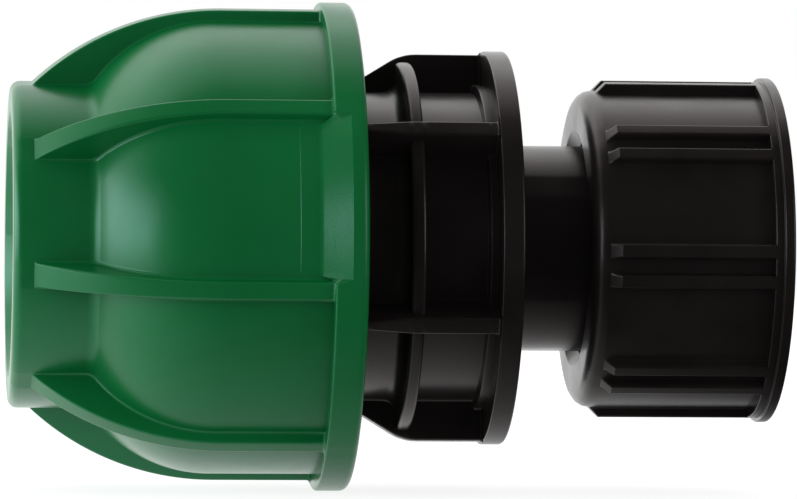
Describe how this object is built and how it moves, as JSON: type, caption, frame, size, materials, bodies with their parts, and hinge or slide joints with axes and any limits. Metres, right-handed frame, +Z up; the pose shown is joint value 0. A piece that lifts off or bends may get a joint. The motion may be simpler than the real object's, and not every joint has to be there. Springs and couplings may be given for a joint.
{
  "type": "compression fitting",
  "caption": "Pipe compression fitting: a domed, ribbed nut clamps a plastic pipe in a black body, whose tail carries a ribbed swivel nut with a female pipe thread.",
  "frame": {"origin": "on the flow axis, at the stop inside the socket that the end of the pipe meets", "axes": "+X along the flow axis from the pipe end to the threaded end, +Z up as pictured, the picture taken from -Y"},
  "size_m": [0.1014, 0.0648, 0.065],
  "materials": {
    "green_plastic": "satin moulded polypropylene",
    "black_plastic": "satin moulded polypropylene",
    "white_plastic": "smooth moulded acetal",
    "bush_plastic": "satin moulded polypropylene",
    "seal_rubber": "matt nitrile rubber"
  },
  "bodies": {
    "fitting_body": {"body": "black_plastic", "seal_ring": "seal_rubber"},
    "grip_set": {"grip_ring": "white_plastic", "thrust_bush": "bush_plastic"},
    "clamp_nut": {"compression_nut": "green_plastic"},
    "coupling_nut": {"swivel_nut": "black_plastic", "washer": "seal_rubber"}
  },
  "joints": [
    {"name": "nut_travel", "type": "slide", "parent": "fitting_body", "child": "grip_set", "axis": [-1, 0, 0], "range_m": [-0.002, 0.018]},
    {"name": "nut_turn", "type": "hinge", "parent": "grip_set", "child": "clamp_nut", "pos_m": [-0.035, 0, 0], "axis": [-1, 0, 0], "range_deg": [-120, 1080]},
    {"name": "swivel", "type": "hinge", "parent": "fitting_body", "child": "coupling_nut", "pos_m": [0.02, 0, 0], "axis": [1, 0, 0], "continuous": true}
  ],
  "couplings": [
    {"joint": "nut_travel", "follows": "nut_turn", "m_per_rad": 0.0009549}
  ]
}
